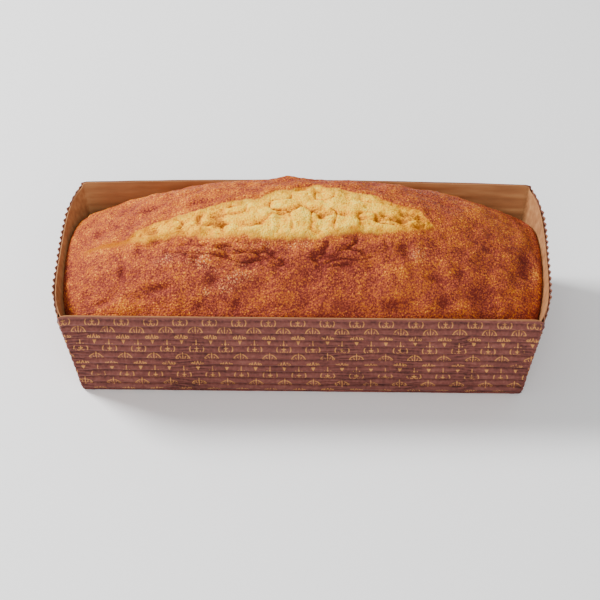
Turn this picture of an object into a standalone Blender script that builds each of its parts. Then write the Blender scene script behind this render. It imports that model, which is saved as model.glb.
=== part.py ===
"""A pound cake loaf in the folded paper case that it was baked in.

Metres, +Z up, +X along the loaf, and the origin at the middle of the case's underside.
The case is one fluted sheet: its flutes run along X, so they lie level on the long walls and stand
upright on the bowed end walls, and a glue flap wraps round each corner. The loaf fills the case,
domes over its rim, and is split along the top.

Every shape starts as a cube that is subdivided and whose points a function then puts in place.
In those functions u, v and w run from -1 to 1 along X, Y and Z.
"""

import math

import bmesh
import bpy
from mathutils import Vector, noise

# The case, outside sizes
CASE_HEIGHT = 0.040
RIM_LENGTH = 0.170
RIM_WIDTH = 0.078
BASE_LENGTH = 0.160
BASE_WIDTH = 0.068
END_BOW = 0.0051  # how far the middle of an end wall's rim stands out from its corners
BOW_SQUARENESS = 4.3  # a higher power keeps the bow full until nearer the corner
BOW_RISE = 1.5  # the power of height by which the bow grows from base to rim
END_RIM_DROP = 0.0015  # the end walls end this far below the long walls' rim
BOARD = 0.0014

# Flutes and flaps
FLUTES_PER_LONG_WALL = 12
FLUTE_PITCH = RIM_WIDTH / 23
FLUTES_BETWEEN_FLAPS = 15
FLUTE_DEPTH = 0.0009
FLAP_THICKNESS = 0.0005
FLAP_FLUTE_DEPTH = 0.0003

# The loaf
GAP = 0.0005
CORNER_CRUST = 0.0275  # height of the crust where it leaves the case, at a corner
END_RISE = 0.008  # from a corner to the middle of an end
SIDE_RISE = 0.010  # from a corner to the middle of a long side
DOME = 0.017  # from there up to the crown
DOME_POWER_X = 2.4
DOME_POWER_Y = 2.6
CORNER_ROUNDING = 0.06

# The split along the crown
SPLIT_LEFT, SPLIT_WIDEST, SPLIT_RIGHT = -0.076, 0.005, 0.048
SPLIT_HALF_WIDTH = 0.0132
SPLIT_CENTRE = -0.0045
SPLIT_SWING = 0.006  # its left tip lies this much nearer the front
SPLIT_DEPTH = 0.0016
LIP_HEIGHT = 0.0007

# Unevenness of the crust, and of the crumb inside the split
CRUST_WAVE, CRUST_WAVE_LENGTH = 0.0005, 0.019
CRUMB_LUMP, CRUMB_LUMP_LENGTH = 0.0011, 0.009

LOAF_CUTS = (51, 25, 3)
WALL_LEVELS = 4
BEYOND = 0.004  # how far a cutter reaches past what it cuts
HAIR = 0.00015  # keeps two faces from lying in one plane


def half_length(z):
    """Half the case's outer length at height z, at its corners."""
    return (BASE_LENGTH + (RIM_LENGTH - BASE_LENGTH) * z / CASE_HEIGHT) / 2


def half_width(z):
    """Half the case's outer width at height z."""
    return (BASE_WIDTH + (RIM_WIDTH - BASE_WIDTH) * z / CASE_HEIGHT) / 2


def end_wall_x(y, z):
    """Distance of an end wall's outer face from the middle: the straight flare plus the bow."""
    across = min(1.0, abs(y) / half_width(z))
    bow = END_BOW * max(0.0, z / CASE_HEIGHT) ** BOW_RISE
    return half_length(z) + bow * (1 - across**BOW_SQUARENESS)


def mapped_block(name, collection, cuts, place):
    """A cube from (-1, -1, -1) to (1, 1, 1), cut along X, Y and Z, whose points move to place(u, v, w)."""
    mesh = bpy.data.meshes.new(name)
    bm = bmesh.new()
    bmesh.ops.create_cube(bm, size=2)
    for axis in range(3):
        along = [e for e in bm.edges if abs(e.verts[0].co[axis] - e.verts[1].co[axis]) > 1e-6]
        if cuts[axis]:
            bmesh.ops.subdivide_edges(bm, edges=along, cuts=cuts[axis], use_grid_fill=True)
    for vertex in bm.verts:
        vertex.co = place(*vertex.co)
    bm.normal_update()
    bmesh.ops.recalc_face_normals(bm, faces=bm.faces)
    bm.to_mesh(mesh)
    bm.free()
    block = bpy.data.objects.new(name, mesh)
    collection.objects.link(block)
    return block


def pick(stations, t):
    """The station that belongs to t, where -1 is the first of them and 1 the last."""
    return stations[round((t + 1) / 2 * (len(stations) - 1))]


def cut_away(piece, cutter):
    """Takes the cutter's volume off the piece."""
    cutter.hide_render = True
    cutter.display_type = "WIRE"
    modifier = piece.modifiers.new(cutter.name, "BOOLEAN")
    modifier.object = cutter
    modifier.operation = "DIFFERENCE"
    modifier.solver = "EXACT"


def material(name, colour, roughness):
    made = bpy.data.materials.new(name)
    made.use_nodes = True
    shader = made.node_tree.nodes["Principled BSDF"]
    shader.inputs["Base Color"].default_value = (*colour, 1)
    shader.inputs["Roughness"].default_value = roughness
    shader.inputs["Metallic"].default_value = 0
    return made


# --- The baking case ---


def end_wall_lines():
    """The upright lines of an end wall's outer face, from its middle to one corner.

    Each is (base y, rim y, step out from the end wall, step down from the long walls' rim). Up to the
    flap they are the flutes' crests and valleys, which stay parallel. On the flap they fan out with
    the flare, and the last three make the step up to the long wall's rim.
    """
    half_pitch = FLUTE_PITCH / 2
    lines = []
    for k in range(FLUTES_BETWEEN_FLAPS + 1):
        valley = k % 2 * FLUTE_DEPTH
        lines.append((k * half_pitch, k * half_pitch, -valley, END_RIM_DROP))
    edge = FLUTES_BETWEEN_FLAPS * half_pitch + HAIR
    base, rim = BASE_WIDTH / 2, RIM_WIDTH / 2
    for share in (0, 1 / 3, 2 / 3):
        base_y = edge + (base - edge) * share
        rim_y = edge + (rim - edge) * share
        lines.append((base_y, rim_y, FLAP_THICKNESS, END_RIM_DROP))
    for inward, drop in ((BOARD + 3 * HAIR, END_RIM_DROP), (BOARD + HAIR, 0), (0, 0)):
        lines.append((base - inward, rim - inward, FLAP_THICKNESS, drop))
    return lines


def case_outside(collection):
    """The case's outer form, filled in: flared walls, bowed fluted ends, flaps and stepped rim."""
    half = [(side, *line) for side in (-1, 1) for line in end_wall_lines()[1:]]
    lines = sorted([*half, (1, *end_wall_lines()[0])], key=lambda line: line[0] * line[1])

    def place(u, v, w):
        side, base_y, rim_y, out, drop = pick(lines, v)
        level = (w + 1) / 2
        z = (CASE_HEIGHT - drop) * level
        y = base_y + (rim_y - base_y) * level
        return Vector((u * (end_wall_x(y, z) + out), side * y, z))

    return mapped_block("baking_case", collection, (0, len(lines) - 2, WALL_LEVELS), place)


def case_cavity(collection):
    """The space inside the walls and above the floor, carried on past the rim."""

    def place(u, v, w):
        z = BOARD + (CASE_HEIGHT + BEYOND - BOARD) * (w + 1) / 2
        across = v * half_width(z)
        return Vector((u * (end_wall_x(across, z) - BOARD), v * (half_width(z) - BOARD), z))

    return mapped_block("cut_cavity", collection, (0, 15, WALL_LEVELS), place)


def groove_stations(z):
    """Points of a level groove from one flap's free edge, round two corners, to the other flap's.

    Each is (x, y, how deep along X, how deep along Y). The depths at a corner make the mitre there.
    """
    edge = FLUTES_BETWEEN_FLAPS * FLUTE_PITCH / 2 - 2 * HAIR
    corner = half_width(z)
    one_end = [(half_length(z) + FLAP_THICKNESS, corner, FLAP_FLUTE_DEPTH, FLUTE_DEPTH)]
    for share in (0.7, 0.35, 0):
        y = edge + (corner - edge) * share
        one_end.append((end_wall_x(y, z) + FLAP_THICKNESS, y, FLAP_FLUTE_DEPTH, 0))
    other_end = [(-x, y, -deep_x, deep_y) for x, y, deep_x, deep_y in one_end]
    return one_end[::-1] + other_end


def level_grooves(collection):
    """The hollows between the flutes of the long walls, as V-shaped bars that wrap round the corners."""
    bm = bmesh.new()
    for n in range(1, FLUTES_PER_LONG_WALL):
        height = CASE_HEIGHT * n / FLUTES_PER_LONG_WALL
        stations = groove_stations(height)
        for side in (-1, 1):

            def place(u, v, w, stations=stations, height=height, side=side):
                x, y, deep_x, deep_y = pick(stations, u)
                out = (v + w) / 2
                z = height + FLUTE_DEPTH * (v - w) / 2
                return Vector((x + deep_x * out, side * (y + deep_y * out), z))

            bar = mapped_block("bar", collection, (len(stations) - 2, 0, 0), place)
            bm.from_mesh(bar.data)
            bpy.data.objects.remove(bar)
    mesh = bpy.data.meshes.new("cut_level_grooves")
    bm.to_mesh(mesh)
    bm.free()
    grooves = bpy.data.objects.new("cut_level_grooves", mesh)
    collection.objects.link(grooves)
    return grooves


def baking_case(parts, cutters):
    case = case_outside(parts)
    cut_away(case, case_cavity(cutters))
    cut_away(case, level_grooves(cutters))
    case.data.materials.append(material("fluted board", (0.22, 0.075, 0.055), 0.75))
    return case


# --- The loaf ---


def crust_line(u, v):
    """Height of the crust's edge at a wall, carried smoothly across the loaf."""
    return CORNER_CRUST + END_RISE * (1 - v * v) + SIDE_RISE * (1 - u * u)


def split_share(x, y):
    """0 outside the split, rising to 1 along its middle. Its left tip is narrow and its right end blunt."""
    if not SPLIT_LEFT < x < SPLIT_RIGHT:
        return 0.0
    from_widest = (SPLIT_WIDEST - x) / (SPLIT_WIDEST - SPLIT_LEFT)
    half = SPLIT_HALF_WIDTH * (1 - max(0.0, from_widest) ** 1.3)
    if x > SPLIT_WIDEST:
        half = SPLIT_HALF_WIDTH * (1 - ((x - SPLIT_WIDEST) / (SPLIT_RIGHT - SPLIT_WIDEST)) ** 2) ** 0.75
    centre = SPLIT_CENTRE - SPLIT_SWING * from_widest**2
    return max(0.0, 1 - abs(y - centre) / half)


def loaf_top(u, v, x, y):
    """Height of the top: the dome, its slow waves, and the split's raised lip, hollow and lumpy crumb."""
    dome = DOME * (1 - abs(u) ** DOME_POWER_X) * (1 - abs(v) ** DOME_POWER_Y)
    wave = CRUST_WAVE * noise.noise(Vector((x, y, 0)) / CRUST_WAVE_LENGTH)
    share = split_share(x, y)
    lip = LIP_HEIGHT * math.sin(math.pi * min(1.0, 3 * share))
    hollow = SPLIT_DEPTH * min(1.0, 2 * share)
    lump = CRUMB_LUMP * min(1.0, 3 * share) * noise.noise(Vector((x, y, 1)) / CRUMB_LUMP_LENGTH)
    return crust_line(u, v) + dome + wave + lip - hollow + lump


def place_loaf(u, v, w):
    """Sides that follow the case's walls up to the crust's edge, and a top that follows the dome."""
    bottom = BOARD + GAP
    level = (w + 1) / 2
    plan_z = min(bottom + (crust_line(u, v) - bottom) * level, CASE_HEIGHT)
    rounding = CORNER_ROUNDING * level**2
    end = end_wall_x(v * half_width(plan_z), plan_z) - BOARD - GAP
    x = u * end * (1 - rounding * abs(v) ** 12)
    y = v * (half_width(plan_z) - BOARD - GAP) * (1 - rounding * abs(u) ** 24)
    return Vector((x, y, bottom + (loaf_top(u, v, x, y) - bottom) * level))


def loaf(parts):
    cake = mapped_block("loaf", parts, LOAF_CUTS, place_loaf)
    bm = bmesh.new()
    bm.from_mesh(cake.data)
    underside = [f for f in bm.faces if f.normal.z < -0.99]
    flat = bmesh.ops.dissolve_faces(bm, faces=underside, use_verts=False)["region"]
    bmesh.ops.triangulate(bm, faces=flat, ngon_method="BEAUTY")
    bm.to_mesh(cake.data)
    bm.free()
    cake.data.shade_smooth()
    cake.data.set_sharp_from_angle(angle=math.radians(40))
    cake.data.materials.append(material("golden crust", (0.55, 0.20, 0.06), 0.6))
    return cake


def main():
    for old in list(bpy.data.objects):
        bpy.data.objects.remove(old, do_unlink=True)
    scene = bpy.context.scene.collection
    parts = bpy.data.collections.new("Pound cake loaf")
    cutters = bpy.data.collections.new("Cutters")
    scene.children.link(parts)
    scene.children.link(cutters)
    cutters.hide_render = True
    baking_case(parts, cutters)
    loaf(parts)


main()
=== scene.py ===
# %% [markdown]
# # A pound cake loaf in its baking case
#
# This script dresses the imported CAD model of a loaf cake. The CAD gives the sizes, and everything
# that is seen is made here: the domed cake with its browned crust and torn crumb, and the folded
# case of fluted board that the cake was baked in.

import math

import bpy
import numpy as np
from mathutils import Matrix, Vector


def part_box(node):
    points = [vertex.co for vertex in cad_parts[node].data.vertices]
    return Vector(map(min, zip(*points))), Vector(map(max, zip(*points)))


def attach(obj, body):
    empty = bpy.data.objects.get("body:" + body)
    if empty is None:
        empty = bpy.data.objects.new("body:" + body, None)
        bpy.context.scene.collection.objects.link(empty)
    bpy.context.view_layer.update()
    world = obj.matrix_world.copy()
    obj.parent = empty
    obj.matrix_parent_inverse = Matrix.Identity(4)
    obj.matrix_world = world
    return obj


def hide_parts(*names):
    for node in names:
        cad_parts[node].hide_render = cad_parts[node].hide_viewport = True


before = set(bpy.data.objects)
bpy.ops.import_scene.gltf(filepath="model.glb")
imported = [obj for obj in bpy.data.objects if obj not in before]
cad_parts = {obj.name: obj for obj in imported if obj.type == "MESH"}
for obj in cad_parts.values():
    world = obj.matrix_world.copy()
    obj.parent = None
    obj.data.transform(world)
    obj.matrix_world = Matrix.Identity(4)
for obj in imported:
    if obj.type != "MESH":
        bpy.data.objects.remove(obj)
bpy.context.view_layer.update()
print("nodes to dress:", sorted(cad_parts))

# %% [markdown]
# ## Sizes
#
# A folded case is one flat blank with a floor and four walls. The walls lean outwards, so the case
# is longer and wider at its rim. The cake pushes the middle of each end wall out into a bow, and
# the back wall a little too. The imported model's boxes give the overall sizes. The rest are a case
# maker's own figures: the board's thickness, the pitch of its flutes, and how far the walls lean.

# %% Sizes of the case and the loaf
MM = 0.001
case_low, case_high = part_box("baking_case")
loaf_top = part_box("loaf")[1][2]
HEIGHT = case_high[2]
RIM_WIDTH = case_high[1] - case_low[1]
END_BOW = 4.6 * MM
BACK_BOW = 2.1 * MM
BOWED_FLAP = 0.15 * MM  # what a corner flap adds to the length
RIM_LENGTH = case_high[0] - case_low[0] - 2 * END_BOW - 2 * BOWED_FLAP
LEAN_ACROSS, LEAN_ALONG = 5 * MM, 6 * MM
BASE_WIDTH = RIM_WIDTH - 2 * LEAN_ACROSS
BASE_LENGTH = RIM_LENGTH - 2 * LEAN_ALONG
END_RIM_DROP = 1.5 * MM
BOARD = 1.4 * MM
LINER = 0.35 * MM
FLUTES_ACROSS = 23
FLUTE_PITCH = RIM_WIDTH / FLUTES_ACROSS
HIGHEST_RELIEF = 0.8 * MM  # what the crust's relief adds to the smooth dome
CROWN = loaf_top - HIGHEST_RELIEF
case_mm = [round(side / MM) for side in (RIM_LENGTH, RIM_WIDTH, HEIGHT)]
print("case", case_mm, f"mm, crown at {CROWN / MM:.1f} mm")


# %% [markdown]
# ## The case's outline
#
# Every wall follows four short formulas, so that the liner, the flutes and the cake all fit each
# other. The straight part of each wall leans at a steady rate. An end wall's bow is full across
# most of it and dies away quickly at the corners, which the long walls hold in place. The back
# wall's bow is a slight curve from corner to corner, and the front wall is straight.

# %% The walls' positions at any height
BOW_RISE = 1.5  # the power of the height by which a bow grows
BOW_SQUARENESS = 4.3  # a higher power keeps an end wall's bow full until nearer the corners


def half_length(z):
    """Half the outer length between the corners, growing evenly from the base to the rim."""
    return (BASE_LENGTH + (RIM_LENGTH - BASE_LENGTH) * z / HEIGHT) / 2


def half_width(z):
    """Half the outer width, growing evenly from the base to the rim."""
    return (BASE_WIDTH + (RIM_WIDTH - BASE_WIDTH) * z / HEIGHT) / 2


def end_bow(y, z):
    """The end wall's bow: a power of the height, times 1 minus a power of the way across."""
    across = np.clip(np.abs(y) / half_width(z), 0, 1)
    return END_BOW * np.clip(z / HEIGHT, 0, None) ** BOW_RISE * (1 - across**BOW_SQUARENESS)


def back_bow(u, v, z):
    """The back wall's bow, a parabola along it. Points in front of it share it by v squared."""
    return BACK_BOW * np.clip(z / HEIGHT, 0, None) ** BOW_RISE * (1 - u**2) * np.clip(v, 0, 1) ** 2


rim_middle = half_length(HEIGHT) + end_bow(0, HEIGHT)
print(f"the middle of an end wall's rim is {rim_middle / MM:.1f} mm out")


# %% [markdown]
# ## Unevenness
#
# Nothing baked or folded by hand is perfectly regular. Blender has noise textures, but a mesh that
# is worked out with numpy needs its own noise. This one puts random numbers on the corners of a
# lattice of cubes and blends them smoothly, for all points at once. Adding finer and weaker layers
# gives bumps of several sizes.

# %% Smooth noise for whole arrays of points
TABLE_SIZE = 4096
MIXERS = (73856093, 19349663, 83492791)  # large primes that scatter neighbours over the table


def noise(points, cell, seed):
    """Random values on a lattice of this cell size, blended by the curve 6t^5 - 15t^4 + 10t^3."""
    table = np.random.default_rng(seed).uniform(-1, 1, TABLE_SIZE)
    scaled = np.asarray(points) / cell
    corner = np.floor(scaled).astype(np.int64)
    part = scaled - corner
    fade = part**3 * (part * (part * 6 - 15) + 10)
    total = np.zeros(scaled.shape[:-1])
    for step in np.ndindex(2, 2, 2):
        i, j, k = np.moveaxis(corner + step, -1, 0)
        share = np.prod(np.where(step, fade, 1 - fade), axis=-1)
        total += share * table[((i * MIXERS[0]) ^ (j * MIXERS[1]) ^ (k * MIXERS[2])) % TABLE_SIZE]
    return total


def layered_noise(points, cell, seed, layers=3):
    """Noise, plus half as much noise of half the cell size, and so on."""
    return sum(noise(points, cell / 2**n, seed + n) / 2**n for n in range(layers))


def ramp(low, high, value):
    """0 below low, 1 above high, and the smooth curve 3t^2 - 2t^3 between them."""
    t = np.clip((value - low) / (high - low), 0, 1)
    return t * t * (3 - 2 * t)


def spot(x, y, centre_x, centre_y, along, across):
    """A round spot: 1 at its centre, falling off as the bell curve exp(-distance squared)."""
    return np.exp(-(((x - centre_x) / along) ** 2) - ((y - centre_y) / across) ** 2)


def spots(x, y, table):
    """Adds up a table of spots, whose last column is each one's amount."""
    return sum(amount * spot(x, y, *place) for *place, amount in table)


sample = layered_noise(np.random.default_rng(1).uniform(0, 1, (1000, 3)), 0.1, 1)
print(f"noise runs from {sample.min():.2f} to {sample.max():.2f}")


# %% [markdown]
# ## From a grid of points to a mesh
#
# Every piece here is a surface: rows and columns of points. One helper joins the neighbours into
# four-sided faces, shades them smooth, and stores a UV map and any named values that a material
# reads later. Rows run along the first axis of the array and columns along the second.

# %% Turning a grid into a piece
def grid_faces(rows, columns, closed=False):
    """Faces between neighbouring points. A closed grid also joins its last column to its first."""
    number = np.arange(rows * columns).reshape(rows, columns)
    if closed:
        number = np.concatenate([number, number[:, :1]], axis=1)
    quads = (number[:-1, :-1], number[:-1, 1:], number[1:, 1:], number[1:, :-1])
    return np.stack([q.ravel() for q in quads], axis=1)


def new_piece(name, points, faces, nodes, values=None, uv=None):
    """A mesh object that stands for these CAD nodes, with its values and its UV map per point."""
    mesh = bpy.data.meshes.new(name)
    mesh.from_pydata(points.reshape(-1, 3), [], [tuple(f) for f in faces])
    mesh.shade_smooth()
    for key, value in (values or {}).items():
        layer = mesh.attributes.new(key, "FLOAT", "POINT")
        layer.data.foreach_set("value", np.ascontiguousarray(value, dtype=np.float32).ravel())
    if uv is not None:
        corner_vertex = np.empty(len(mesh.loops), dtype=np.int32)
        mesh.loops.foreach_get("vertex_index", corner_vertex)
        sheet = mesh.uv_layers.new(name="sheet")
        sheet.data.foreach_set("uv", uv.reshape(-1, 2)[corner_vertex].ravel())
    piece = bpy.data.objects.new(name, mesh)
    bpy.context.scene.collection.objects.link(piece)
    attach(piece, "root")
    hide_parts(*nodes)
    print(f"{name}: {len(mesh.vertices)} points, {len(mesh.polygons)} faces")
    return piece


def thicken(piece, thickness):
    """Gives a sheet its thickness, on the side that its normals point away from."""
    solid = piece.modifiers.new("thickness", "SOLIDIFY")
    solid.thickness = thickness
    solid.offset = -1


# %% [markdown]
# ## The cake's dome
#
# Batter rises most where it is last to set, so a loaf domes in the middle and its crust stays low
# where it touched the case, lowest of all in the corners. The dome could be sculpted or made with
# a subdivided cage, but a formula keeps its edge exactly on the case's walls. The crust rolls over
# a small round shoulder before it meets the board.

# %% The plain dome
CORNER_CRUST = 27.5 * MM
END_RISE = 8 * MM
SIDE_RISE = 10 * MM
DOME = CROWN - CORNER_CRUST - END_RISE - SIDE_RISE
SHOULDER = 2.2 * MM
SNUG = 0.12 * MM  # the space between the cake and the liner
CORNER_ROUNDING = 0.06  # how far a corner of the crust draws in, as a share of its distance
STEEPEST = 0.98  # stops the shoulder's quarter circle just before it turns upright


def crust_line(u, v):
    """The crust's height at the walls: parabolas that are highest at the middle of each side."""
    return CORNER_CRUST + END_RISE * (1 - v**2) + SIDE_RISE * (1 - u**2)


def shoulder_drop(u, v):
    """How far the shoulder's quarter circle has dropped, from the distance to the nearest wall."""
    inward = np.minimum((1 - np.abs(u)) * RIM_LENGTH / 2, (1 - np.abs(v)) * RIM_WIDTH / 2)
    across = np.clip(1 - inward / SHOULDER, 0, 1)
    return SHOULDER * (1 - np.sqrt(1 - STEEPEST * across**2))


def plan(u, v, level):
    """Where the cake reaches: the case's inner walls, with corners that round off higher up."""
    z = np.minimum(BOARD + (crust_line(u, v) - BOARD) * level, HEIGHT)
    rounding = CORNER_ROUNDING * level**2
    reach = half_length(z) + end_bow(v * half_width(z), z) - BOARD - SNUG
    x = u * reach * (1 - rounding * np.abs(v) ** 10)
    y = v * (half_width(z) - BOARD - SNUG) * (1 - rounding * np.abs(u) ** 22)
    y += back_bow(u, v, z)
    return x, y


def plain_dome(u, v):
    """The smooth dome: the crust line plus a cushion of powers 2.4 along and 2.6 across."""
    x, y = plan(u, v, 1.0)
    cushion = (1 - np.abs(u) ** 2.4) * (1 - np.abs(v) ** 2.6)
    z = crust_line(u, v) + DOME * cushion - shoulder_drop(u, v)
    return np.stack([x, y, z], axis=-1)


COLUMNS, ROWS = 430, 190
u, v = np.meshgrid(np.linspace(-1, 1, COLUMNS), np.linspace(-1, 1, ROWS))
dome = plain_dome(u, v)
print(f"dome from {dome[..., 2].min() / MM:.1f} to {dome[..., 2].max() / MM:.1f} mm high")

# %% [markdown]
# ## Where the crust split
#
# The top crust sets while the middle is still rising, so it tears open along the crown. This tear
# starts as a thin, browned crack at the left, opens to about 28 mm, and ends bluntly at the right.
# Its two edges are given at a few places along the loaf, and noise frays them. The result is one
# number for each point: how many millimetres it lies inside the tear.

# %% The outline of the split
# Places along the loaf, and where the tear's front and back edges are there, all in mm
TEAR_X = [-80, -77, -69, -63, -58, -54, -49, -43, -37, -30, -22]
TEAR_X += [-15, -8, -1, 6, 13, 20, 28, 35, 42, 45, 47]
TEAR_FRONT = [-3.0, -4.6, -7.5, -8.7, -9.4, -10.0, -10.6, -11.3, -12.7, -14.1, -14.9]
TEAR_FRONT += [-15.7, -16.1, -16.5, -16.2, -15.2, -13.3, -12.2, -11.0, -8.8, -6.7, -4.5]
TEAR_BACK = [-3.0, -2.2, -4.4, -5.1, -3.0, -1.8, -1.0, -0.5, 1.3, 2.5, 3.0]
TEAR_BACK += [4.2, 8.3, 10.6, 11.7, 10.2, 7.6, 6.0, 3.8, 1.4, -2.0, -4.5]


def split_centre(x):
    """The tear's centre line in mm, halfway between its two edges."""
    return (np.interp(x, TEAR_X, TEAR_FRONT) + np.interp(x, TEAR_X, TEAR_BACK)) / 2


def split_half_width(x):
    """Half the tear's width in mm, and 0 beyond its ends."""
    return (np.interp(x, TEAR_X, TEAR_BACK) - np.interp(x, TEAR_X, TEAR_FRONT)) / 2


x_mm, y_mm = dome[..., 0] / MM, dome[..., 1] / MM
fray = 1.1 * noise(dome, 5 * MM, 11) + 0.5 * noise(dome, 2.2 * MM, 12)
fray += 0.3 * noise(dome, 1 * MM, 13)
past_centre = y_mm - split_centre(x_mm)
smooth_inside = split_half_width(x_mm) - np.abs(past_centre)
past_end = np.maximum(TEAR_X[0] - x_mm, x_mm - TEAR_X[-1])
inside = np.where(past_end > 0, -np.hypot(past_end, past_centre), smooth_inside)
behind = ramp(-1, 1, past_centre)
inside = inside + fray * ramp(0, 5, split_half_width(x_mm))
crumb = ramp(-0.6, 1.5, inside) * behind + ramp(-1.8, 2.2, inside) * (1 - behind)
print(f"the tear covers {100 * (crumb > 0.5).mean():.0f}% of the top")

# %% [markdown]
# ## Relief of the crust
#
# The crust isn't smooth. It sags in waves of three sizes, it has soft dimples where bubbles sank,
# and in front of the tear it is drawn into fine wrinkles that run along the loaf. Toward the right
# it is lumpier. Each of these is its own layer of noise or its own table of hollows, in
# millimetres, and the layers are added up. A last layer gives the sugary grain of a pound cake.

# %% Waves, wrinkles, dimples and grain
waves = 0.5 * noise(dome, 17 * MM, 21) + 0.58 * noise(dome, 8 * MM, 22)
waves += 0.42 * noise(dome, 4 * MM, 20) - 0.3
lumps = 0.65 * noise(dome, 6.5 * MM, 23) * ramp(10, 45, x_mm) * ramp(0, -12, y_mm)
drawn_across = (smooth_inside + 1.2 * noise(dome, 7 * MM, 29)) * MM
drawn_along = 0.22 * dome[..., 0] + 0.25 * drawn_across
drawn = np.stack([drawn_along, drawn_across, 0.1 * dome[..., 0]], axis=-1)
in_front = ramp(-12, -6, inside) * ramp(-0.5, -3.0, inside) * (1 - behind)
in_front *= ramp(48, 26, np.abs(x_mm + 10))
folds = np.abs(noise(drawn, 2.2 * MM, 24) + 0.35 * noise(drawn, 1.1 * MM, 28))
wrinkles = (0.35 - 1.5 * ramp(0.30, 0.03, folds)) * in_front
ridges = 1 - np.abs(noise(dome * (0.6, 1, 1), 9 * MM, 25))
creases = -0.35 * ramp(0.6, 0.95, ridges) * (1 - crumb)
grain = 0.07 * noise(dome, 1.5 * MM, 26) + 0.11 * noise(dome, 0.9 * MM, 27)

# Each dimple: centre x and y, size along and across, depth. Every table of spots is in mm.
DIMPLES = [
    (-63.9, -19.1, 1.2, 3.2, 0.8),
    (-49.8, -27.7, 4.5, 1.1, 1.0),
    (-70.5, -27.8, 4.0, 1.0, 0.8),
    (-30.8, -27.4, 2.2, 1.6, 1.1),
    (36.2, -16.1, 2.0, 1.2, 1.0),
    (-74.7, 3.3, 1.8, 1.8, 0.6),
    (-16.8, -23.9, 2.2, 1.6, 0.6),
    (3.4, -26.1, 4.0, 1.8, 0.6),
    (15.8, -23.7, 3.0, 1.6, 0.6),
    (37.0, -18.3, 3.0, 2.0, 1.2),
    (33.5, -32.6, 3.6, 1.4, 0.8),
    (56.0, -21.0, 2.8, 2.0, 1.0),
    (67.1, -7.4, 2.6, 2.0, 0.8),
    (50.0, -30.6, 2.2, 1.2, 0.9),
    (80.6, -9.5, 2.2, 3.6, 0.9),
    (-36.3, 5.4, 5.0, 0.9, 0.8),
    (-56.0, 9.0, 5.0, 0.9, 0.7),
    (-66.2, 2.6, 5.0, 1.6, 0.6),
    (80.5, -4.0, 2.0, 2.4, 0.7),
    (-5.1, 22.2, 3.6, 1.5, -0.7),
    (46.5, -24.5, 2.8, 0.9, 0.8),
    (61.0, -15.5, 2.4, 1.0, 0.5),
    (25.0, -24.0, 3.0, 1.0, 0.5),
    (-58.0, -12.0, 1.2, 3.0, 0.4),
    (12.0, 26.0, 14.0, 8.0, 0.9),
    (-62.0, 15.0, 6.0, 4.0, 0.6),
]
DIMPLE_STRENGTH = 1.25
dimples = -DIMPLE_STRENGTH * spots(x_mm, y_mm, DIMPLES)
crust_relief = waves + lumps + wrinkles + creases + dimples
print(f"crust relief from {crust_relief.min():.1f} to {crust_relief.max():.1f} mm")

# %% [markdown]
# ## Relief of the crumb
#
# Inside the tear the cake was still wet when it was pulled apart, so it set in soft mounds. A
# ragged valley runs along it. The mounds stand up in front of the valley. Behind it the floor
# rises gently, up to the back edge, where the crust stands up as a thin lip. A few steam holes go
# deeper.

# %% Mounds, valley, lip and holes
VALLEY_X = [-24, -14, -10, -4, 1, 6, 9, 18, 25, 34, 42]
VALLEY_Y = [-12.5, -9.5, -6.6, -4.4, -3.0, -6.2, -6.4, -5.8, -7.2, -6.0, -3.0]
MOUND_SPACING = 15
valley_line = np.interp(x_mm, VALLEY_X, VALLEY_Y) + 0.6 * noise(dome, 3.5 * MM, 31)
past_valley = y_mm - valley_line
in_valley_part = ramp(-26, -16, x_mm) * ramp(46, 40, x_mm)
valley = -0.85 * np.exp(-np.where(past_valley > 0, past_valley / 2.6, past_valley / 0.7) ** 2)
mounds = np.abs(np.sin(np.pi * (x_mm / MOUND_SPACING + 0.5))) ** 0.5
mounds = 0.65 * mounds * ramp(0.3, -1.2, past_valley)
soft_lumps = 0.6 * noise(dome, 6 * MM, 32) + 0.5 * noise(dome, 3 * MM, 33)
pores = 0.28 * noise(dome, 1.6 * MM, 34) + 0.16 * noise(dome, 0.9 * MM, 35)
fold_lines = np.abs(noise(dome * (0.7, 1, 1), 5.5 * MM, 36))
crumb_folds = -0.75 * ramp(0.22, 0.0, fold_lines) * ramp(1.5, 4, inside)
crumb_relief = (valley + mounds) * in_valley_part + soft_lumps + crumb_folds + pores - 0.7 * behind

# Each hole: centre x and y, size along and across, depth
HOLES = [
    (-25.3, 0.4, 1.5, 0.7, 1.6),
    (-27.7, -8.8, 1.9, 0.9, 1.5),
    (-8.8, -3.0, 1.9, 0.7, 1.6),
    (-14.5, -10.1, 1.6, 1.0, 1.4),
    (16.2, 0.8, 1.8, 1.0, 1.1),
    (41.0, -7.3, 2.2, 1.0, 1.2),
    (6.9, -7.3, 1.2, 1.1, 1.5),
    (4.0, -5.2, 1.0, 0.6, 1.0),
    (29.0, -3.6, 1.6, 0.9, 0.9),
    (35.5, -4.6, 1.2, 1.4, 1.0),
]
holes = -spots(x_mm, y_mm, HOLES)
lip = 0.55 * np.exp(-(((inside + 1.2) / 1.3) ** 2)) * behind * ramp(0, 6, split_half_width(x_mm))
relief = crust_relief * (1 - crumb) + (crumb_relief + holes) * crumb + lip
relief += grain * (1 - 0.6 * crumb)
print(f"crumb relief from {(crumb_relief + holes).min():.1f} to {crumb_relief.max():.1f} mm")
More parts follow.
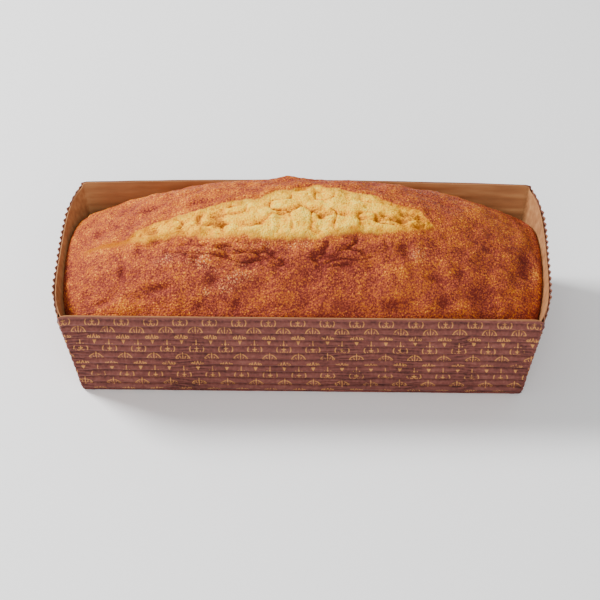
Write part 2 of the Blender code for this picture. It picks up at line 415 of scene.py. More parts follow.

# %% [markdown]
# ## The cake as one closed mesh
#
# The relief is pushed out along the dome's own normals, so the steep sides get as much of it as
# the crown does. Then the border of the top is carried down the walls in a few rows, and a fan
# closes the underside. Five values are stored with each point. Browning is darker in the dips
# and paler on the crests, which is painted shade and light. It is darker toward the right and the
# front and paler at the back, which is painted shade and light of a lamp at the left and behind,
# with some paler and browner patches. Gloss marks the places where sugar melted, and the material
# also paints highlights there. Crumb is 1 inside the tear, where toast marks the edge that the
# oven's heat reached and depth marks the folds and holes, which the crumb's colour darkens as
# painted shade.

# %% Push out the relief
along_u = np.gradient(dome, axis=1)
along_v = np.gradient(dome, axis=0)
normal = np.cross(along_u, along_v)
normal /= np.linalg.norm(normal, axis=-1, keepdims=True)
from_wall = np.minimum((1 - np.abs(u)) * RIM_LENGTH, (1 - np.abs(v)) * RIM_WIDTH) / 2
border_fade = ramp(0, 3 * MM, from_wall)
top = dome + normal * (relief * MM * border_fade)[..., None]

# %% Carry the border down the walls and close it
SIDE_LEVELS = np.linspace(1, 0, 9)[1:]
CAKE_BASE = BOARD + 0.1 * MM
number = np.arange(ROWS * COLUMNS).reshape(ROWS, COLUMNS)
border = [number[0, :-1], number[:-1, -1], number[-1, :0:-1], number[:0:-1, 0]]
border = np.concatenate(border)
border_u, border_v = u.ravel()[border], v.ravel()[border]
border_top = top.reshape(-1, 3)[border]
plan_top = np.stack(plan(border_u, border_v, 1.0), axis=-1)
sides = []
for level in SIDE_LEVELS:
    spread = np.stack(plan(border_u, border_v, level), axis=-1)
    spread += (border_top[:, :2] - plan_top) * level**2
    height = CAKE_BASE + (border_top[:, 2] - BOARD) * level
    sides.append(np.column_stack([spread, height]))
middle = np.array([[0, 0, CAKE_BASE]])
points = np.concatenate([top.reshape(-1, 3), *sides, middle])

count = len(border)
side_loops = np.arange(len(SIDE_LEVELS) * count).reshape(-1, count) + ROWS * COLUMNS
loops = [border, *side_loops]
faces = [tuple(f) for f in grid_faces(ROWS, COLUMNS)]
for upper, lower in zip(loops, loops[1:]):
    faces += list(zip(lower, np.roll(lower, -1), np.roll(upper, -1), upper))
last = len(points) - 1
faces += [(last, b, a) for a, b in zip(loops[-1], np.roll(loops[-1], -1))]
print(f"{len(points)} points and {len(faces)} faces close the cake")

# %% Browning with painted shade and light, stored per point
# Painted shade: the crust is painted browner in its dimples, wrinkles, creases and the dips between
# lumps.
painted_hollow_shade = np.clip(-(dimples + 1.2 * wrinkles + creases + 0.2 * lumps), 0, 1.3)
# Painted shade and light: browner toward the right and the front, paler at the back, and paler on the
# crests of the waves and lumps. The far left end, the edge against the case and the wrinkles in front
# of the tear are browner too.
browning_and_painted_shade = 0.45 + 0.10 * ramp(-60, 60, x_mm) + 0.06 * ramp(-55, -80, x_mm)
browning_and_painted_shade += 0.08 * ramp(-12, -30, y_mm) + 0.07 * noise(dome, 12 * MM, 41)
browning_and_painted_shade += 0.22 * painted_hollow_shade - 0.13 * np.clip(waves + 0.7 * lumps, -0.7, 0.8)
browning_and_painted_shade += 0.10 * (1 - border_fade) - 0.05 * ramp(0, 10, y_mm)
browning_and_painted_shade += 0.10 * in_front - 0.12 * ramp(-4, -1, inside) * ramp(1, -1, inside)

# Each patch: centre x and y, size along and across, and how much browner it is. The pale oval at x 84,
# y -9 is a painted highlight.
PATCHES = [
    (53, -8, 7, 6, -0.16),
    (57, -31, 3, 2.5, -0.20),
    (50.5, -30.4, 2.2, 1.0, 0.10),
    (84, -9, 1.6, 3.2, -0.34),
    (80, -4, 3, 4, 0.10),
    (-61, -30, 8, 3, -0.18),
    (-28, -21, 5, 2, -0.18),
    (-12, -25, 5, 2.5, -0.12),
    (-50, -20, 3, 5, 0.06),
    (-31, -33, 9, 2.5, 0.06),
    (5, -33, 12, 3, 0.06),
    (-55, 6, 16, 5, -0.06),
    (44, -21, 4, 2, -0.16),
]
browning_and_painted_shade += spots(x_mm, y_mm, PATCHES)

# Each glossy place: centre x and y, size along and across, and how glossy it is. The material paints
# these places paler too, as painted highlights.
GLOSSY_HIGHLIGHTS = [
    (-47.6, -18.8, 4, 1.5, 1),
    (-35.3, -20.8, 5, 2.5, 1),
    (-24.1, -26.0, 6, 2.5, 1),
    (-29.8, -30.0, 5, 1.0, 1),
    (-10, -18, 12, 1.5, 1),
    (41, -18, 2.5, 2, 1),
    (84, -9, 1.5, 3, 1),
]
gloss_and_highlight = spots(x_mm, y_mm, GLOSSY_HIGHLIGHTS)
gloss_and_highlight = np.clip(gloss_and_highlight * (0.75 + 0.9 * noise(dome, 3 * MM, 43)), 0, 1) * (1 - crumb)
toast = 0.70 * (1 - ramp(0.2, 3.4, inside + 1.4 * noise(dome, 2.5 * MM, 42))) * crumb
toasted_tail = ramp(0.1, 0.5, crumb) * ramp(-56, -64, x_mm)
toast = np.maximum(toast, toasted_tail)
# Depth darkens the crumb in its valley, folds and holes, as painted shade, and makes the tear's two
# ends more golden.
depth = valley * in_valley_part + holes + 0.5 * soft_lumps + 1.1 * crumb_folds + pores
depth = np.clip(-depth, 0, 1.5)
depth += 0.40 * ramp(-15, -50, x_mm) + 0.50 * ramp(22, 42, x_mm)
SIDE_BROWNING = 0.62
extra = len(points) - ROWS * COLUMNS
values = {"browning_and_painted_shade": np.concatenate([browning_and_painted_shade.ravel(), np.full(extra, SIDE_BROWNING)])}
for key, value in (("crumb", crumb), ("toast", toast), ("depth", depth), ("gloss_and_highlight", gloss_and_highlight)):
    values[key] = np.concatenate([value.ravel(), np.zeros(extra)])
cake = new_piece("cake", points, faces, ["loaf"], values)

# %% [markdown]
# ## Arithmetic in materials
#
# A procedural material is a net of nodes. Wired by hand, a sum of three products takes a dozen
# lines, so this small class lets a node's output be added and multiplied as a number is, and each
# operation adds one Math node to the material.

# %% A small language for node trees
class Field:
    """A value that varies over the surface, held by one output socket of a node."""

    def __init__(self, tree, socket):
        self.tree = tree
        self.socket = socket

    def math(self, operation, *others):
        """A Math node's result from this and the others."""
        node = self.tree.nodes.new("ShaderNodeMath")
        node.operation = operation
        for value, socket in zip((self, *others), node.inputs):
            connect(self.tree, value, socket)
        return Field(self.tree, node.outputs[0])

    def __add__(self, other):
        return self.math("ADD", other)

    def __sub__(self, other):
        return self.math("SUBTRACT", other)

    def __mul__(self, other):
        return self.math("MULTIPLY", other)

    def ramp(self, low, high):
        """0 at low, 1 at high, and a smooth curve between them."""
        node = self.tree.nodes.new("ShaderNodeMapRange")
        node.interpolation_type = "SMOOTHSTEP"
        connect(self.tree, self, node.inputs["Value"])
        node.inputs["From Min"].default_value = min(low, high)
        node.inputs["From Max"].default_value = max(low, high)
        node.inputs["To Min"].default_value = float(low > high)
        node.inputs["To Max"].default_value = float(low < high)
        return Field(self.tree, node.outputs["Result"])


def connect(tree, value, socket):
    """Links a field to a socket, or sets the socket's own value from a number or a colour."""
    if isinstance(value, Field):
        tree.links.new(value.socket, socket)
    else:
        socket.default_value = value


def texture(tree, kind, vector, scale, **settings):
    """A Noise or Voronoi texture whose features are about 1 / scale across."""
    node = tree.nodes.new(kind)
    connect(tree, vector, node.inputs["Vector"])
    node.inputs["Scale"].default_value = scale
    for name, value in settings.items():
        node.inputs[name.title()].default_value = value
    return Field(tree, node.outputs[0])


def stretched(tree, vector, scale):
    """The same coordinates, multiplied along each axis."""
    node = tree.nodes.new("ShaderNodeMapping")
    connect(tree, vector, node.inputs["Vector"])
    node.inputs["Scale"].default_value = scale
    return Field(tree, node.outputs["Vector"])


def stored(tree, name):
    """A value stored with the mesh's points."""
    node = tree.nodes.new("ShaderNodeAttribute")
    node.attribute_name = name
    return Field(tree, node.outputs["Fac"])


def object_place(tree):
    """The point's position in metres."""
    return Field(tree, tree.nodes.new("ShaderNodeTexCoord").outputs["Object"])


def colour_ramp(tree, value, stops):
    """Colours at places from 0 to 1, blended between them."""
    node = tree.nodes.new("ShaderNodeValToRGB")
    connect(tree, value, node.inputs["Fac"])
    ramp_stops = node.color_ramp.elements
    while len(ramp_stops) < len(stops):
        ramp_stops.new(0.5)
    for stop, (place, colour) in zip(ramp_stops, stops):
        stop.position = place
        stop.color = (*colour, 1)
    return Field(tree, node.outputs["Color"])


def blended(tree, share, first, second):
    """The first colour where share is 0 and the second where it is 1."""
    node = tree.nodes.new("ShaderNodeMix")
    node.data_type = "RGBA"
    connect(tree, share, node.inputs["Factor"])
    for value, name in ((first, "A"), (second, "B")):
        socket = [s for s in node.inputs if s.name == name and s.type == "RGBA"][0]
        connect(tree, value if isinstance(value, Field) else (*value, 1), socket)
    return Field(tree, [s for s in node.outputs if s.type == "RGBA"][0])


def finish_material(tree, colour, roughness, height=None, bump=1.0, distance=1 * MM, **constants):
    """Sets the shader: colour and roughness from the surface, bump from a height, and the constants."""
    shader = tree.nodes["Principled BSDF"]
    connect(tree, colour, shader.inputs["Base Color"])
    connect(tree, roughness, shader.inputs["Roughness"])
    for name, value in constants.items():
        shader.inputs[name.replace("_", " ")].default_value = value
    if height is not None:
        node = tree.nodes.new("ShaderNodeBump")
        node.inputs["Strength"].default_value = bump
        node.inputs["Distance"].default_value = distance
        connect(tree, height, node.inputs["Height"])
        tree.links.new(node.outputs["Normal"], shader.inputs["Normal"])


def new_material(name):
    """An empty procedural material, and its node tree."""
    made = bpy.data.materials.new(name)
    made.use_nodes = True
    return made, made.node_tree


print("material helpers ready")

# %% [markdown]
# ## The baked surface
#
# The crust's brown comes from sugar and protein that browned together: salmon gold where it is
# thin and red brown where it is thick, and red brown in its dips as painted shade. Over it lies a
# fine grain of sugar whose pale flecks are painted glints, with painted highlights where sugar
# melted. The crumb is pale egg yellow, darker gold in its folds and holes as painted shade, and
# toasted orange along its edge. One material holds both, because the change from one to the other
# is gradual, and it reads the values that were stored with the points.

# %% Crust and crumb
baked, tree = new_material("baked_cake")
place = object_place(tree)
mottle = texture(tree, "ShaderNodeTexNoise", place, 260, detail=3.0)
fine = texture(tree, "ShaderNodeTexNoise", place, 1500, detail=1.0, roughness=0.6)
cells = texture(tree, "ShaderNodeTexVoronoi", place, 1450)
sugar_specks_and_glints = cells.ramp(0.50, 0.12)
painted_highlight_and_gloss = stored(tree, "gloss_and_highlight")
crust_tone = stored(tree, "browning_and_painted_shade") + (mottle - 0.5) * 0.8 + (fine - 0.5) * 1.6 + 0.11
# Painted glints and highlights: the sugar flecks, and the places where sugar melted, make the crust
# paler.
crust_tone = crust_tone - sugar_specks_and_glints * 0.40 - painted_highlight_and_gloss * 0.12
crust_colour = colour_ramp(
    tree,
    crust_tone,
    [
        (0.00, (0.80, 0.31, 0.035)),
        (0.28, (0.56, 0.148, 0.004)),
        (0.50, (0.41, 0.088, 0.018)),
        (0.72, (0.28, 0.052, 0.024)),
        (1.00, (0.15, 0.021, 0.014)),
    ],
)
# Painted shade: the crumb is darker gold where the depth value is high.
crumb_tone = (stored(tree, "depth") * 0.62) + (mottle - 0.5) * 1.0 + (fine - 0.5) * 1.3 + 0.27
crumb_colour = colour_ramp(
    tree,
    crumb_tone,
    [
        (0.00, (1.00, 0.70, 0.080)),
        (0.30, (1.00, 0.55, 0.016)),
        (0.62, (0.88, 0.36, 0.004)),
        (1.00, (0.38, 0.12, 0.010)),
    ],
)
toasted = blended(tree, stored(tree, "toast"), crumb_colour, (0.42, 0.115, 0.002))
# Painted highlight: where sugar melted, the sugar flecks are blended toward pale peach.
crust_colour = blended(tree, painted_highlight_and_gloss * sugar_specks_and_glints * 0.55, crust_colour, (0.92, 0.52, 0.24))
share = stored(tree, "crumb") + (fine - 0.5) * 0.6
cake_colour = blended(tree, share.ramp(0.2, 0.8), crust_colour, toasted)
cake_roughness = (fine * 0.2) + 0.58 + stored(tree, "crumb") * 0.2 - painted_highlight_and_gloss * 0.3
cake_height = fine * 0.8 - cells * 0.7 + mottle * 0.5
finish_material(
    tree,
    cake_colour,
    cake_roughness,
    cake_height,
    bump=0.8,
    distance=0.5 * MM,
    Subsurface_Weight=0.05,
    Subsurface_Scale=1.5 * MM,
    Specular_IOR_Level=0.09,
)
cake.data.materials.append(baked)
print("baked cake material:", len(tree.nodes), "nodes")

# %% [markdown]
# ## The case's liner
#
# The board is single faced: a smooth kraft sheet on the inside, with a fluted sheet glued to its
# outside. Here is the smooth sheet. It is a band that runs once round the four inner walls. Its
# rim is lower along the end walls, with a small rounded step at each corner. The glued flutes show
# through it as a very slight washboard.

# %% The liner's walls
CORNER_CUT = 0.5 * MM
MOST_BUCKLE = 0.03 * MM  # any further out and the liner would come through the fluted sheet


def wall_loop(along_count, across_count):
    """Goes once round the four walls, from front left. u and v run from -1 to 1 along X and Y."""
    along = np.linspace(-1, 1, along_count)[:-1]
    across = np.linspace(-1, 1, across_count)[:-1]
    one_long, one_end = np.ones_like(along), np.ones_like(across)
    u = np.concatenate([along, one_end, -along, -one_end])
    v = np.concatenate([-one_long, across, one_long, -across])
    return u, v


def rim_height(from_corner, on_end):
    """The long walls' rim, rounded down near its corners, and the lower rim of the end walls."""
    corner_cut = CORNER_CUT * ramp(1.8 * MM, 0, from_corner)
    end_drop = (END_RIM_DROP - corner_cut) * ramp(0, 1.2 * MM, from_corner)
    return HEIGHT - corner_cut - np.where(on_end, end_drop, 0)


loop_u, loop_v = wall_loop(141, 81)
on_end = np.abs(loop_u) == 1
from_corner = np.maximum((1 - np.abs(loop_u)) * RIM_LENGTH, (1 - np.abs(loop_v)) * RIM_WIDTH) / 2
rise = np.linspace(0, 1, 91)[:, None]
liner_z = BOARD / 2 + (rim_height(from_corner, on_end) - BOARD / 2) * rise
liner_x = loop_u * (half_length(liner_z) + end_bow(loop_v * half_width(liner_z), liner_z) - BOARD)
liner_y = loop_v * (half_width(liner_z) - BOARD) + back_bow(loop_u, loop_v, liner_z)
liner_grid = np.stack([liner_x, liner_y, liner_z], axis=-1)
washboard = np.cos(2 * np.pi * np.where(on_end, liner_y, liner_z) / FLUTE_PITCH)
buckle = (0.05 * washboard + 0.3 * noise(liner_grid, 24 * MM, 51)) * MM
buckle = np.minimum(buckle, MOST_BUCKLE) * ramp(0, 3 * MM, from_corner) * ramp(0, 0.2, rise)
liner_grid[..., 0] += np.where(on_end, loop_u * buckle, 0)
liner_grid[..., 1] += np.where(on_end, 0, loop_v * buckle)
liner_values = {
    "rim": ramp(0.985, 0.995, rise) + 0 * liner_z,
    "washboard": washboard,
    "on_end": on_end + 0 * liner_z,
}
liner = new_piece(
    "liner",
    liner_grid,
    grid_faces(*liner_grid.shape[:2], closed=True)[:, ::-1],
    ["baking_case"],
    liner_values,
)
thicken(liner, LINER)

# %% [markdown]
# ## Flutes
#
# The outer sheet is a wave. Its valleys are glued to the liner and its crests are what a hand
# feels. It could be a bump map, but its scalloped edge shows along the rims, where the flutes are
# cut across and the open tunnels look like a row of dark dots. So each wall's wave is real: the
# wall's own surface, moved in by the depth of the wave at each place. Along the rim of a long wall
# the cutting press flattened it against the liner.

# %% The wave, and the fold at the foot of a wall
WAVE_SHEET = 0.22 * MM
FLUTE_DEPTH = BOARD - LINER - WAVE_SHEET
FOOT_RADIUS = 2.4 * MM
UNDER_BASE = 1.2 * MM  # how far the sheet goes on under the base
LEAN = math.atan2(LEAN_ACROSS, HEIGHT)


def flute(phase):
    """1 on a crest, at whole phases, and 0 in a valley: 1 minus the power 2.2 of a sine."""
    return 1 - np.abs(np.sin(np.pi * phase)) ** 2.2


def down_the_wall(rim_z, rows):
    """A path from the rim down the leaning wall, round the foot's quarter circle and in under.

    Returns the path's length so far, the height on the straight wall, how far to move out (negative
    is in), and the point's own height.
    """
    straight = (rim_z - FOOT_RADIUS) / math.cos(LEAN)
    round_foot = FOOT_RADIUS * math.pi / 2
    path = np.linspace(0, straight + round_foot + UNDER_BASE, rows)[:, None]
    wall_z = np.maximum(rim_z - path * math.cos(LEAN), FOOT_RADIUS)
    turn = np.clip((path - straight) / FOOT_RADIUS, 0, math.pi / 2)
    under = np.clip(path - straight - round_foot, 0, None)
    move_out = FOOT_RADIUS * (np.cos(turn) - 1) - under
    return path, wall_z, move_out, wall_z - FOOT_RADIUS * np.sin(turn)


def pinched(path):
    """How far the wave is pressed back to the liner along the rim, where the blank was cut."""
    return 0.85 * FLUTE_DEPTH * ramp(2.0 * MM, 0.2 * MM, path)


def cut_edge(path):
    """1 along the rim's cut edge, where the paper's unprinted middle shows."""
    return ramp(0.35 * MM, 0.10 * MM, path)


print(f"flutes {FLUTE_PITCH / MM:.2f} mm apart and {FLUTE_DEPTH / MM:.2f} mm deep")

# %% [markdown]
# ## The long walls
#
# Along the long walls the flutes lie level, twelve of them from rim to base. The same sheet turns
# each vertical corner as a flap that is glued to the outside of the end wall, where it was pressed
# nearly flat. So one surface makes a long wall and its two flaps: one parameter runs along the
# sheet and the other down it. In a few places the flutes were crushed, and there they break up
# into finer wrinkles. A hard crease runs just above the foot. However deep these add up to, the
# sheet is never pressed in further than the liner that it is glued to.

# %% A long wall with its flaps
FLAP_EDGE = 25.6 * MM  # from the end wall's middle to the flap's free edge
FLAP_LIFT = 0.4 * MM
FLAP_SINK = 0.9 * MM
FLAP_WAVE = 0.4 * MM
FLAP_FOOT = 0.8 * MM  # how far above the ground a flap ends
CORNER_RADIUS = 1.0 * MM
CREASE_HEIGHT = 4.2  # in mm
UV_PER_METRE = 10
NOISE_APART = 0.1  # in metres, so that no two walls share their noise
WALL_POINTS, TURN_POINTS, FLAP_POINTS = 170, 8, 14
# Each crushed patch: its middle along the wall and its half width, in mm
CRUSHED = [(-40, 8), (15, 10), (38, 6), (58, 5), (-79, 5), (79, 3)]


def wall_columns():
    """The shares along the straight wall, round the corner and along the flap, per column."""
    flap = np.linspace(0, 1, FLAP_POINTS)[1:]
    turning = np.linspace(0, 1, TURN_POINTS)[1:]
    share = np.linspace(-1, 1, WALL_POINTS)
    full, none = np.ones_like(flap), np.zeros_like(turning)
    straight = np.concatenate([-full, none - 1, share, none + 1, full])
    corner = np.concatenate([full, turning[::-1], 0 * share, turning, full])
    beyond = np.concatenate([flap[::-1], none, 0 * share, none, flap])
    return straight[None, :], corner[None, :], beyond[None, :]


def long_wall(side, seed):
    """The fluted sheet of one long wall: side is -1 for the front and 1 for the back."""
    straight, corner, beyond = wall_columns()
    path, wall_z, move_out, z = down_the_wall(HEIGHT, 180)
    from_corner = (1 - np.abs(straight)) * RIM_LENGTH / 2
    top = rim_height(from_corner, False) - (END_RIM_DROP - CORNER_CUT) * corner
    flap_z = top - (top - FLAP_FOOT) * path / path[-1]
    z = z * top / HEIGHT * (1 - corner) + flap_z * corner
    wall_z = wall_z * (1 - corner) + flap_z * corner
    move_out = move_out * (1 - corner)

    angle = corner * math.pi / 2
    centre_x = half_length(wall_z) + FLAP_LIFT - CORNER_RADIUS
    centre_y = half_width(wall_z) - CORNER_RADIUS
    along_flap = beyond * (centre_y - FLAP_EDGE)
    side_x = np.sign(straight)
    along = side_x * (np.abs(straight) * centre_x + CORNER_RADIUS * angle + along_flap)
    place = np.stack(np.broadcast_arrays(along, side * NOISE_APART + 0 * path, path), axis=-1)

    crushed = sum(np.exp(-(((along / MM - middle) / reach) ** 4)) for middle, reach in CRUSHED)
    crushed = crushed * ramp(5 * MM, 10 * MM, path) * (0.8 + 0.5 * noise(place, 6 * MM, seed))
    crushed = np.clip(crushed, 0, 1) * (1 - corner)
    wander = 0.45 * noise(place, 14 * MM, seed + 1)
    wander = wander + 0.4 * noise(place, 6 * MM, seed + 2) * (0.3 + crushed)
    phase = (path + wander * MM) / FLUTE_PITCH
    finer = flute(2.5 * phase + 0.9 * noise(place, 9 * MM, seed + 3))
    wrinkled = crushed * (1 - finer)
    wave = 1 - (1 - flute(phase)) * (1 - 0.4 * crushed)
    depth = FLUTE_DEPTH + (FLAP_WAVE - FLUTE_DEPTH) * corner
    from_crease = z - (CREASE_HEIGHT + 0.25 * wander) * MM
    creased = np.exp(-((from_crease / (0.3 * MM)) ** 2)) * (1 - corner)
    pressed = (1 - wave) * depth + 0.45 * MM * creased + 0.4 * MM * wrinkled
    pressed = pressed - 0.12 * MM * noise(place, 8 * MM, seed + 4) + pinched(path)
    pressed = np.minimum(pressed, FLUTE_DEPTH) * ramp(0, 1.5 * MM, z)
    out = move_out - pressed - FLAP_SINK * ramp(0.02, 0.3, beyond)

    bow = end_bow(centre_y - along_flap, wall_z) * (beyond > 0)
    x = side_x * (np.abs(straight) * centre_x + (CORNER_RADIUS + out) * np.sin(angle) + bow)
    y = centre_y + (CORNER_RADIUS + out) * np.cos(angle) - along_flap
    y = y + back_bow(straight, side, wall_z)
    grid = np.stack(np.broadcast_arrays(x, side * y, z), axis=-1)
    uv = np.stack(np.broadcast_arrays(along, path), axis=-1) * UV_PER_METRE
    faces = grid_faces(*grid.shape[:2])
    values = {
        # The board is painted darker in the flute valleys and along the crease, as painted shade.
        "groove_shade": np.clip(np.maximum(1 - wave, creased), 0, 1),
        "crushed": crushed,
        "wrinkled": wrinkled,
        "cut": cut_edge(path) + 0 * wave,
    }
    piece = new_piece(
        "wall_front" if side < 0 else "wall_back",
        grid,
        faces[:, ::-1] if side < 0 else faces,
        ["baking_case"],
        values,
        uv,
    )
    thicken(piece, WAVE_SHEET)
    return piece


long_walls = [long_wall(-1, 60), long_wall(1, 70)]

# %% [markdown]
# ## The end walls
#
# The sheet is folded up at the ends too, so its flutes stand upright there. Along the rim they are
# cut straight across. The wall bows out with the pressure of the rising cake, and under the glued
# flaps its flutes are crushed.

# %% An end wall
def end_wall(end, seed):
    """The fluted sheet of one end wall: end is -1 for the left and 1 for the right."""
    across = np.linspace(-1, 1, 320)[None, :]
    path, wall_z, move_out, z = down_the_wall(HEIGHT - END_RIM_DROP, 40)
    y = across * (half_width(wall_z) - BOARD)
    place = np.stack(np.broadcast_arrays(end * 2 * NOISE_APART + 0 * y, y, path), axis=-1)
    wave = flute(y / FLUTE_PITCH + 0.10 * noise(place, 12 * MM, seed))
    under_flap = ramp(FLAP_EDGE - 1 * MM, FLAP_EDGE + 0.5 * MM, np.abs(y))
    wave = wave * (1 - 0.6 * under_flap)
    out = move_out - (1 - wave) * FLUTE_DEPTH
    out = out + 0.10 * MM * noise(place, 9 * MM, seed + 1) * (1 - under_flap)
    x = half_length(wall_z) + end_bow(y, wall_z) + out
    grid = np.stack(np.broadcast_arrays(end * x, y, z), axis=-1)
    uv = np.stack(np.broadcast_arrays(path, y), axis=-1) * UV_PER_METRE
    faces = grid_faces(*grid.shape[:2])
    piece = new_piece(
        "end_left" if end < 0 else "end_right",
        grid,
        faces[:, ::-1] if end > 0 else faces,
        ["baking_case"],
        {"groove_shade": 1 - wave, "crushed": 0 * y, "cut": 0.6 * cut_edge(path) + 0 * y},
        uv,
    )
    thicken(piece, WAVE_SHEET)
    return piece


end_walls = [end_wall(-1, 80), end_wall(1, 90)]

# %% [markdown]
# ## The underside
#
# The case stands on the crests of its flutes, which run along the loaf here as they do on the long
# walls. This sheet reaches to the folds at the foot of the four walls.

# %% The fluted floor
FLOOR_INSET = 2.2 * MM
FLOOR_COLUMNS, FLOOR_ROWS = 60, 240
floor_u, floor_v = np.meshgrid(np.linspace(-1, 1, FLOOR_COLUMNS), np.linspace(-1, 1, FLOOR_ROWS))
floor_x = floor_u * (BASE_LENGTH / 2 - FLOOR_INSET)
floor_y = floor_v * (BASE_WIDTH / 2 - FLOOR_INSET)
floor_wave = flute(floor_y / FLUTE_PITCH)
floor_grid = np.stack([floor_x, floor_y, (1 - floor_wave) * FLUTE_DEPTH], axis=-1)
underside = new_piece(
    "underside",
    floor_grid,
    grid_faces(FLOOR_ROWS, FLOOR_COLUMNS)[:, ::-1],
    ["baking_case"],
    {"groove_shade": 1 - floor_wave, "crushed": 0 * floor_wave},
    np.stack([floor_x, floor_y], axis=-1) * UV_PER_METRE,
)
thicken(underside, WAVE_SHEET)

# %% [markdown]
# ## Kraft paper
#
# The liner is plain kraft: tan, with long fibres that lie along the sheet, soft clouds, faint
# stripes over the glued flutes, and an evenly coloured cut edge along the rim.

# %% Liner material
kraft, tree = new_material("kraft_liner")
place = object_place(tree)
fibres = texture(tree, "ShaderNodeTexNoise", stretched(tree, place, (0.12, 1, 1)), 420, detail=4.0)
clouds = texture(tree, "ShaderNodeTexNoise", place, 60, detail=3.0)
stripes = stored(tree, "washboard") * -0.05 * (stored(tree, "on_end") * -0.5 + 1)
kraft_tone = (fibres - 0.5) * 0.85 + (clouds - 0.5) * 0.5 + stripes + 0.45
kraft_colour = colour_ramp(
    tree,
    kraft_tone,
    [(0.0, (0.17, 0.066, 0.028)), (0.45, (0.36, 0.160, 0.062)), (1.0, (0.60, 0.33, 0.13))],
)
kraft_colour = blended(tree, stored(tree, "rim") * 0.6, kraft_colour, (0.34, 0.140, 0.055))
finish_material(
    tree,
    kraft_colour,
    (fibres * 0.2) + 0.6,
    fibres + clouds * 0.5,
    bump=0.25,
    distance=0.3 * MM,
    Specular_IOR_Level=0.12,
)
liner.data.materials.append(kraft)
print("kraft material:", len(tree.nodes), "nodes")

# %% [markdown]
# ## The printed board
#
# The outside is printed before it is fluted: a brown ground with small gold ornaments in columns,
# where every other column is shifted down by half its repeat. Each ornament is built from plain
# shapes, such as rings, half rings, dots and short strokes. The pattern reads the sheet's own UV
# map, in millimetres along the sheet and down it, so it follows every fold and wave. Where the
# rim was cut, the paper's brown middle shows as a thin line.

# %% Print shapes
# The measures of the print, all in mm
COLUMN_GAP = 5.14
REPEAT = 28.2
INK_EDGE = 0.10
MM_PER_UV = 100  # the UV map holds ten units per metre
PRINT_START = 5.9


def near(value, limit):
    """1 where the value is closer to 0 than the limit, with a soft edge."""
    return value.math("ABSOLUTE").ramp(limit + INK_EDGE, limit - INK_EDGE)


def from_middle(x, y):
    """The distance from (0, 0): the square root of x squared plus y squared."""
    return ((x * x) + (y * y)).math("SQRT")


def ring(x, y, radius, stroke):
    """A circle's outline: the distance from the centre, less the radius, is near 0."""
    return near(from_middle(x, y) - radius, stroke / 2)


def dot(x, y, radius):
    """A filled circle: the distance from the centre is less than the radius."""
    return from_middle(x, y).ramp(radius + INK_EDGE, radius - INK_EDGE)


def either(*shapes):
    """All the shapes together: the largest of their values."""
    whole = shapes[0]
    for shape in shapes[1:]:
        whole = whole.math("MAXIMUM", shape)
    return whole


def bowl(x, y):
    """Two brackets with a small star between them, and two curls at its foot."""
    brackets = ring(x * 0.85, y + 0.1, 2.1, 0.30) * x.ramp(1.6, 2.0) * near(y, 1.2)
    curls = ring(x - 0.8, y - 0.7, 0.5, 0.26) * y.ramp(0.3, 0.6)
    star = either(near(x, 0.13) * near(y + 0.2, 1.0), near(y + 0.3, 0.13) * near(x, 0.8))
    return either(brackets, curls, dot(x, y + 0.2, 0.38), star)


def arch(x, y):
    """A hood with curled ends, open at the top, over a stem and two leaning strokes."""
    span = ring(x * 0.85, y - 0.9, 2.1, 0.28) * y.ramp(1.2, 0.9) * x.ramp(0.45, 0.8)
    ends = ring(x - 2.05, y - 1.0, 0.38, 0.24)
    petals = near(x - (y * -0.25 + 0.95), 0.12) * near(y - 0.4, 0.8)
    return either(span, ends, petals, near(x, 0.14) * near(y + 0.1, 1.9), dot(x, y + 1.2, 0.3))


def scroll(x, y):
    """Small rings at both ends, short bars, and two splayed legs in the middle."""
    legs = near(x - (y * 0.35 + 0.30), 0.14) * near(y, 0.9)
    return either(ring(x - 1.75, y - 0.15, 0.42, 0.3), legs, near(x - 1.05, 0.14) * near(y, 0.7))


def wedge(x, y):
    """A small triangle that points down."""
    return (x - (y * -0.5 + 0.36)).ramp(INK_EDGE, -INK_EDGE) * near(y, 0.7)


def stem(x, y):
    """A short stroke with a bead on it and a small bead on either side."""
    return either(near(x, 0.14) * near(y, 1.2), dot(x, y - 0.5, 0.36), dot(x - 1.1, y - 0.5, 0.2))


ORNAMENTS = [(2.4, bowl), (9.9, scroll), (12.8, wedge), (20.5, arch), (27.1, stem)]


def print_column(along, down):
    """Ornaments, repeated every two column gaps along the sheet and every REPEAT down it."""
    x = (along.math("FLOORED_MODULO", 2 * COLUMN_GAP) - COLUMN_GAP).math("ABSOLUTE")
    y = down.math("FLOORED_MODULO", REPEAT)
    return either(*(shape(x, y - place) for place, shape in ORNAMENTS))


# %% Board material
board, tree = new_material("printed_board")
sheet_uv = tree.nodes.new("ShaderNodeUVMap")
sheet_uv.uv_map = "sheet"
split_uv = tree.nodes.new("ShaderNodeSeparateXYZ")
tree.links.new(sheet_uv.outputs["UV"], split_uv.inputs["Vector"])
along_mm = Field(tree, split_uv.outputs["X"]) * MM_PER_UV + PRINT_START
down_mm = Field(tree, split_uv.outputs["Y"]) * MM_PER_UV
print_mask = either(
    print_column(along_mm, down_mm), print_column(along_mm + COLUMN_GAP, down_mm + REPEAT / 2)
)
place = object_place(tree)
paper = texture(tree, "ShaderNodeTexNoise", place, 900, detail=3.0)
blotches = texture(tree, "ShaderNodeTexNoise", place, 160, detail=2.0)
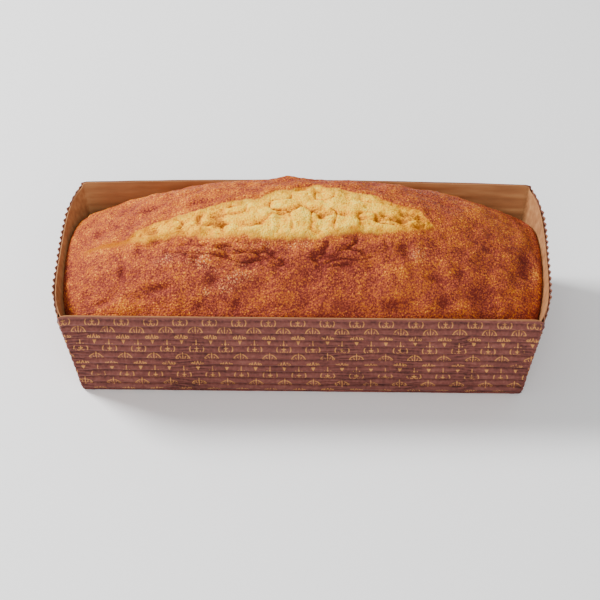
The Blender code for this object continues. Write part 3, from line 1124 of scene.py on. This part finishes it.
# Painted shade: the board is darker in the flute valleys and the crease, and the gold print is dimmer
# there.
painted_groove_shade = stored(tree, "groove_shade").ramp(0.45, 1.0)
wear = (blotches - stored(tree, "crushed") * 0.10 + (paper - 0.5) * 0.8).ramp(0.16, 0.44)
gold = print_mask * wear * (painted_groove_shade * -0.5 + 1)
board_tone = (paper - 0.5) * 0.9 + (blotches - 0.5) * 0.5 - painted_groove_shade * 0.28 + 0.53
# Painted shade in the finer wrinkles of the crushed patches.
board_tone = board_tone - stored(tree, "wrinkled") * 0.45
ground = colour_ramp(
    tree,
    board_tone,
    [(0.0, (0.044, 0.010, 0.008)), (0.5, (0.155, 0.044, 0.034)), (1.0, (0.26, 0.098, 0.072))],
)
printed = blended(tree, gold * 0.72, ground, (0.66, 0.30, 0.065))
printed = blended(tree, stored(tree, "cut") * 0.85, printed, (0.26, 0.100, 0.045))
finish_material(
    tree, printed, (paper * 0.25) + 0.55, paper, bump=0.3, distance=0.25 * MM, Specular_IOR_Level=0.2
)
for piece in [*long_walls, *end_walls, underside]:
    piece.data.materials.append(board)
print("board material:", len(tree.nodes), "nodes")

# %% [markdown]
# ## Floor, light and camera
#
# The loaf stands on a plain pale floor. A soft light from the left and behind gives the crust its
# sheen, and a weaker, wider one from the front opens up the shadows. The camera looks down at about
# 41 degrees through a long lens, as a product is usually shot.

# %% A pale floor
stage_mesh = bpy.data.meshes.new("stage_floor")
stage_mesh.from_pydata([(-3, -3, 0), (3, -3, 0), (3, 3, 0), (-3, 3, 0)], [], [(0, 1, 2, 3)])
stage_floor = bpy.data.objects.new("stage_floor", stage_mesh)
bpy.context.scene.collection.objects.link(stage_floor)
pale, tree = new_material("pale_floor")
finish_material(tree, (0.93, 0.93, 0.93, 1), 0.6)
stage_mesh.materials.append(pale)


# %% Soft lights
LOAF_MIDDLE = Vector((0, 0, 0.03))


def soft_light(name, location, size, power):
    """A square area light that faces the loaf, with its size in metres and its power in watts."""
    lamp = bpy.data.lights.new(name, "AREA")
    lamp.size = size
    lamp.energy = power
    light = bpy.data.objects.new(name, lamp)
    light.location = location
    aim = LOAF_MIDDLE - light.location
    light.rotation_euler = aim.to_track_quat("-Z", "Y").to_euler()
    bpy.context.scene.collection.objects.link(light)


soft_light("key", (-0.80, 0.30, 0.72), 0.35, 23)
soft_light("fill", (0.15, -1.1, 0.8), 0.9, 12)
world = bpy.data.worlds.new("studio")
world.use_nodes = True
background = world.node_tree.nodes["Background"]
background.inputs["Color"].default_value = (1, 1, 1, 1)
background.inputs["Strength"].default_value = 0.57
bpy.context.scene.world = world

# %% Camera
TURN, LOOK_DOWN, TILT = math.radians(-2.17), math.radians(41.03), math.radians(-0.91)
DISTANCE = 0.785
LOAF_RIGHT_OF_CENTRE, LOAF_ABOVE_CENTRE = 1.23 * MM, 3.53 * MM
level_forward = Vector((math.sin(TURN), math.cos(TURN), 0))
forward = level_forward * math.cos(LOOK_DOWN) - Vector((0, 0, math.sin(LOOK_DOWN)))
level_right = Vector((math.cos(TURN), -math.sin(TURN), 0))
level_up = level_right.cross(forward)
right = level_right * math.cos(TILT) + level_up * math.sin(TILT)
up = level_up * math.cos(TILT) - level_right * math.sin(TILT)
aim = Vector((0, 0, HEIGHT / 2)) - right * LOAF_RIGHT_OF_CENTRE - up * LOAF_ABOVE_CENTRE
lens = bpy.data.cameras.new("camera")
lens.lens = 128.3
lens.sensor_width = 36
camera = bpy.data.objects.new("camera", lens)
axes = Matrix((right, up, -forward)).transposed()
camera.matrix_world = Matrix.Translation(aim - forward * DISTANCE) @ axes.to_4x4()
bpy.context.scene.collection.objects.link(camera)
bpy.context.scene.camera = camera
print("camera at", [round(c, 3) for c in camera.matrix_world.translation])
